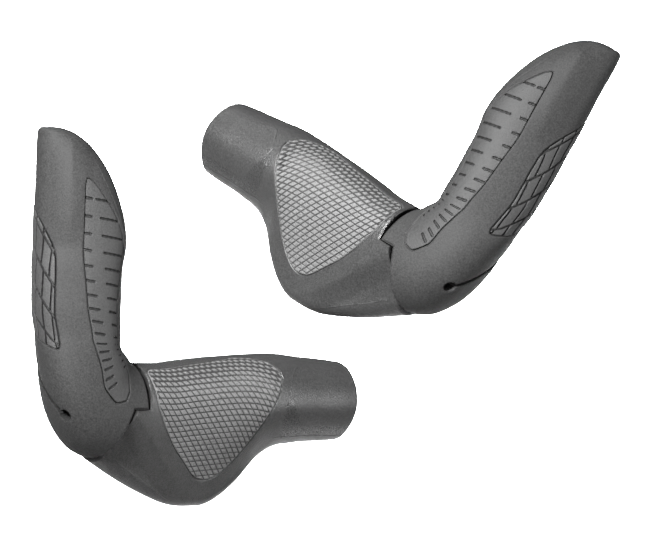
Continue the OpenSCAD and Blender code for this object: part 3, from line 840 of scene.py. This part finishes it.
# ---- Materials ----
class Nodes:
    """A node material with a Principled shader, and short ways to wire it. Scales are per metre."""

    def __init__(self, name, roughness, specular=0.5, metallic=0.0):
        self.material = bpy.data.materials.new(name)
        self.material.use_nodes = True
        self.tree = self.material.node_tree
        self.shader = self.tree.nodes["Principled BSDF"]
        self.shader.inputs["Roughness"].default_value = roughness
        self.shader.inputs["Specular IOR Level"].default_value = specular
        self.shader.inputs["Metallic"].default_value = metallic
        self.place = self.add("ShaderNodeTexCoord").outputs["Object"]

    def add(self, kind, inputs=(), **settings):
        """New node. An input is a value, or a socket to link."""
        node = self.tree.nodes.new(kind)
        for key, value in settings.items():
            setattr(node, key, value)
        for key, value in dict(inputs).items():
            if isinstance(value, bpy.types.NodeSocket):
                self.tree.links.new(value, node.inputs[key])
            else:
                node.inputs[key].default_value = value
        return node

    def noise(self, scale, detail=3.0, roughness=0.6, stretch=None):
        """Noise, mostly between 0.3 and 0.7."""
        place = self.place
        if stretch:
            place = self.add("ShaderNodeMapping", {"Vector": place, "Scale": stretch}).outputs["Vector"]
        return self.add("ShaderNodeTexNoise", {"Vector": place, "Scale": scale, "Detail": detail,
                                               "Roughness": roughness}).outputs["Fac"]

    def grains(self, scale):
        """Distance from the nearest of many scattered grains."""
        return self.add("ShaderNodeTexVoronoi", {"Vector": self.place, "Scale": scale}).outputs["Distance"]

    def spread(self, value, low, high, new_low, new_high):
        """The value, carried from one range to another and held there."""
        return self.add("ShaderNodeMapRange", {"Value": value, "From Min": low, "From Max": high,
                                               "To Min": new_low, "To Max": new_high}).outputs["Result"]

    def mixed(self, factor, first, second):
        """Colour between first, at factor 0, and second, at factor 1."""
        node = self.tree.nodes.new("ShaderNodeMix")
        node.data_type = "RGBA"
        colour_a, colour_b = node.inputs[6], node.inputs[7]
        for socket, value in ((node.inputs["Factor"], factor), (colour_a, first), (colour_b, second)):
            if isinstance(value, bpy.types.NodeSocket):
                self.tree.links.new(value, socket)
            else:
                socket.default_value = value
        return node.outputs[2]

    def with_painted_shade(self, colour, reach=0.002):
        """The same colour with painted shade: darkened in seams, grooves and holes, where shade falls."""
        # painted shade: ambient occlusion takes the colour towards near black in hollows
        occlusion_shade = self.add("ShaderNodeAmbientOcclusion", {"Distance": reach}, samples=6).outputs["AO"]
        return self.mixed(self.spread(occlusion_shade, 0.35, 0.85, 0, 1), grey(0.0012), colour)

    def wire(self, name, value):
        """Links a socket to an input of the shader."""
        self.tree.links.new(value, self.shader.inputs[name])

    def bump(self, layers):
        """Stacks bumps: (height, strength, depth in metres)."""
        normal = None
        for height, strength, depth in layers:
            inputs = {"Height": height, "Strength": strength, "Distance": depth}
            if normal is not None:
                inputs["Normal"] = normal
            normal = self.add("ShaderNodeBump", inputs).outputs["Normal"]
        self.wire("Normal", normal)


def grey(value):
    """Neutral colour."""
    return (value, value, value, 1)


def rubber(name, dark, light, roughness, grain, relief=False, groove=0.3, panel=False):
    """Moulded rubber: stippled and a little mottled; where it has relief, painted shade darkens the grooves,
    and a smooth panel is lightened by a painted sheen.
    """
    n = Nodes(name, roughness, 0.42)
    mottle = n.spread(n.noise(90, 4), 0.3, 0.7, 0, 1)
    fine = n.spread(n.noise(grain, 3, 0.75), 0.36, 0.64, 0, 1)
    colour = n.mixed(mottle, grey(dark), grey(light))
    speck = n.mixed(n.spread(fine, 0, 1, 0, 0.8), colour, grey(light * 2.4))
    if relief:
        # painted shade: the grooves between the raised relief take a near black colour
        height = n.add("ShaderNodeAttribute", attribute_name="relief").outputs["Fac"]
        speck = n.mixed(height, grey(dark * groove), speck)
    rough = n.spread(fine, 0, 1, roughness - 0.07, roughness + 0.1)
    if panel:
        # painted sheen: on the smooth panel the colour is 1.5 times lighter; its lower roughness is the
        # panel's own smoother finish
        smooth = n.add("ShaderNodeAttribute", attribute_name="panel").outputs["Fac"]
        speck = n.mixed(smooth, speck, n.mixed(mottle, grey(dark * 1.5), grey(light * 1.5)))
        less = n.spread(smooth, 0, 1, 0, 0.1)
        rough = n.add("ShaderNodeMath", {0: rough, 1: less}, operation="SUBTRACT").outputs[0]
    # the base colour carries painted shade in seams, grooves and holes
    n.wire("Base Color", n.with_painted_shade(speck))
    n.wire("Roughness", rough)
    n.bump([(n.noise(grain, 3, 0.75), 0.5, 0.0003), (n.grains(grain * 1.3), 0.3, 0.0002)])
    return n.material


def composite(name, dark, light):
    """Fibre filled plastic with a sandy moulded grain."""
    n = Nodes(name, 0.6, 0.2)
    cloud = n.spread(n.noise(60, 5), 0.3, 0.7, 0, 1)
    sand = n.spread(n.noise(1500, 3, 0.75), 0.36, 0.66, 0, 1)
    fibre = n.spread(n.noise(900, 2, 0.6, (1, 1, 6)), 0.56, 0.7, 0, 0.3)
    colour = n.mixed(cloud, grey(dark), grey(light))
    colour = n.mixed(n.spread(sand, 0, 1, 0, 0.8), colour, grey(light * 2.5))
    colour = n.mixed(fibre, colour, grey(light * 1.9))
    # the base colour carries painted shade in seams, grooves and holes
    n.wire("Base Color", n.with_painted_shade(colour))
    n.wire("Roughness", n.spread(sand, 0, 1, 0.56, 0.72))
    n.bump([(n.noise(1500, 3, 0.75), 0.5, 0.0003), (n.noise(500, 3), 0.2, 0.0004)])
    return n.material


def metal(name, colour, roughness, ridges):
    """Machined metal with fine turning marks and a few darker stains."""
    n = Nodes(name, roughness, 0.5, 1.0)
    stain = n.spread(n.noise(150, 4), 0.35, 0.7, 0, 1)
    n.wire("Base Color", n.mixed(stain, (*colour, 1), (*[c * 0.7 for c in colour], 1)))
    marks = n.noise(ridges, 2, 0.5, (1, 8, 1))
    n.wire("Roughness", n.spread(marks, 0.3, 0.7, roughness - 0.06, roughness + 0.12))
    n.bump([(marks, 0.25, 0.00005)])
    return n.material


SHELL_RUBBER = rubber("shell_rubber", 0.014, 0.018, 0.37, 1500, panel=True)
PALM_RUBBER = rubber("palm_rubber", 0.056, 0.07, 0.64, 1900, relief=True)
INNER_RUBBER = rubber("horn_inner_rubber", 0.011, 0.015, 0.62, 1700, relief=True, groove=0.15)
OUTER_RUBBER = rubber("horn_outer_rubber", 0.013, 0.018, 0.6, 1700, relief=True, groove=0.05)
COMPOSITE = composite("grained_composite", 0.012, 0.016)
CORE = composite("core_plastic", 0.016, 0.022)
ALUMINIUM = metal("turned_aluminium", (0.66, 0.67, 0.69), 0.32, 600)
STEEL = metal("plated_steel", (0.6, 0.6, 0.62), 0.3, 900)

# ---- The pieces of both grips ----
SEAM_SIDE = 128  # edges nearer the grip than this belong to the seam, and are rounded more

shell, shell_skin, shell_smooth = shell_shape()
engrave(shell, shell_skin, shell_lines())
mark(shell, "panel", shell_skin, shell_smooth)
palm = palm_pad_shape()
horn, horn_skin = horn_shape()
cuts = cut_edges(horn, horn_skin)
engrave(horn, horn_skin, [*horn_lines(), (cuts[cuts[:, 0] < SEAM_SIDE], 0.9, 0.5), (cuts, 0.5, 0.25)])
inner = inner_pad_shape()
outer = outer_pad_shape()

# shape, name, body, the CAD node it stands for, slot, material
PIECES = [
    (shell, "rubber_shell", "grip", "grip_shell", "shell", SHELL_RUBBER),
    (palm, "lozenge_palm_pad", "grip", "palm_pad", "palm", PALM_RUBBER),
    (horn, "moulded_bar_end", "horn", "bar_end", "composite", COMPOSITE),
    (inner, "grooved_inner_pad", "horn", "horn_inner_pad", "horn_pad", INNER_RUBBER),
    (outer, "diamond_outer_pad", "horn", "horn_outer_pad", "outer_pad", OUTER_RUBBER)]
for shape, name, body, node, slot, material in PIECES:
    for side in SIDES:
        set_down(shape, side, name, body, node, material)
    bpy.data.objects.remove(shape)

# CAD nodes shown as they are, with their own material
CARRIED = {"grip_core": CORE, "clamp_ring": ALUMINIUM, "clamp_nut": STEEL, "bolt_washer": STEEL,
           "clamp_bolt": STEEL}
for side in SIDES:
    for node, material in CARRIED.items():
        carried = frame["nodes"][f"{side}_{node}"]
        carried.data.materials.clear()
        carried.data.materials.append(material)

# ---- Stage, light and camera, in metres ----
low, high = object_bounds()
centre = (low + high) / 2
# The pair hangs over the floor, which is a pale backdrop and nothing to rest on.
FLOOR_DROP = 0.3
FLOOR_HALF = 14


def stage_material():
    """Pale floor with a faint cloud."""
    n = Nodes("pale_floor", 0.9, 0.1)
    n.wire("Base Color", n.mixed(n.spread(n.noise(3, 2), 0.3, 0.7, 0, 1), grey(0.88), grey(0.9)))
    return n.material


floor_mesh = bpy.data.meshes.new("floor")
corners = [(-1, -1), (1, -1), (1, 1), (-1, 1)]
floor_mesh.from_pydata([(x * FLOOR_HALF, y * FLOOR_HALF, low.z - FLOOR_DROP) for x, y in corners],
                       [], [(0, 1, 2, 3)])
floor_mesh.materials.append(stage_material())
floor = bpy.data.objects.new("floor", floor_mesh)
bpy.context.scene.collection.objects.link(floor)

# The surroundings are dim near the horizon and brighter overhead.
SKY = {"From Min": 0.1, "From Max": 0.9, "To Min": 0.1, "To Max": 0.45}
world = bpy.data.worlds.new("studio")
world.use_nodes = True
sky = world.node_tree
height = sky.nodes.new("ShaderNodeSeparateXYZ")
level = sky.nodes.new("ShaderNodeMapRange")
for name, value in SKY.items():
    level.inputs[name].default_value = value
sky.links.new(sky.nodes.new("ShaderNodeTexCoord").outputs["Generated"], height.inputs[0])
sky.links.new(height.outputs["Z"], level.inputs["Value"])
sky.links.new(level.outputs["Result"], sky.nodes["Background"].inputs["Strength"])
sky.nodes["Background"].inputs["Color"].default_value = (1, 1, 1, 1)
bpy.context.scene.world = world
bpy.context.scene.view_settings.view_transform = "Standard"

# The camera looks down at the pair's palm side, turned a little about its own axis.
VIEW_DROP = math.radians(19.05)
VIEW_ROLL = math.radians(15.5)
LENS, SENSOR = 800, 36
CLIP_END = 60
PICTURE_W = 0.2708
AIM_RIGHT, AIM_UP = 0.04167, -0.05746  # the picture's middle, from the right bar mouth
toward = Vector((0, -math.cos(VIEW_DROP), math.sin(VIEW_DROP)))
level_up = Vector((0, math.sin(VIEW_DROP), math.cos(VIEW_DROP)))
picture_right = Vector((1, 0, 0)) * math.cos(VIEW_ROLL) + level_up * math.sin(VIEW_ROLL)
picture_up = level_up * math.cos(VIEW_ROLL) - Vector((1, 0, 0)) * math.sin(VIEW_ROLL)


def from_view(target, right, up, ahead):
    """A point given from a target, in the camera's own directions."""
    return target + picture_right * right + picture_up * up + toward * ahead


def pointed(obj, at, target, up):
    """Stands a camera or lamp at a point, facing a target."""
    back = (at - target).normalized()
    side = up.cross(back).normalized()
    turn = Matrix((side, back.cross(side), back)).transposed()
    obj.matrix_world = Matrix.Translation(at) @ turn.to_4x4()


camera_data = bpy.data.cameras.new("camera")
camera_data.lens = LENS
camera_data.sensor_width = SENSOR
camera_data.clip_end = CLIP_END
camera = bpy.data.objects.new("camera", camera_data)
bpy.context.scene.collection.objects.link(camera)
bar_mouth = Vector(mounts["right_bar_bore"]["pos_m"])
aim = from_view(bar_mouth, AIM_RIGHT, AIM_UP, 0)
aim += toward * (centre - aim).dot(toward)
pointed(camera, from_view(aim, 0, 0, PICTURE_W * LENS / SENSOR), aim, picture_up)
bpy.context.scene.camera = camera


def soft_light(name, at, target, size, watts, spread):
    """Round area light. A narrow spread, in degrees, gives firmer shading."""
    data = bpy.data.lights.new(name, "AREA")
    data.shape = "DISK"
    data.size = size
    data.energy = watts
    lamp = bpy.data.objects.new(name, data)
    bpy.context.scene.collection.objects.link(lamp)
    data.spread = math.radians(spread)
    pointed(lamp, at, target, picture_up)


soft_light("key", from_view(aim, -0.6, 0.62, 1.1), aim, 0.34, 2.9, 30)
soft_light("second", from_view(aim, 1.2, -0.1, 0.7), aim, 0.3, 0.6, 30)
soft_light("rear", aim + Vector((-0.9, 1.0, 0.8)), aim, 0.5, 0.5, 60)
behind = aim - toward * ((aim.z - low.z + FLOOR_DROP) / toward.z)
soft_light("backdrop", behind + Vector((0, 0.25, 1.2)), behind + Vector((0, 0.15, 0)), 0.8, 45, 70)
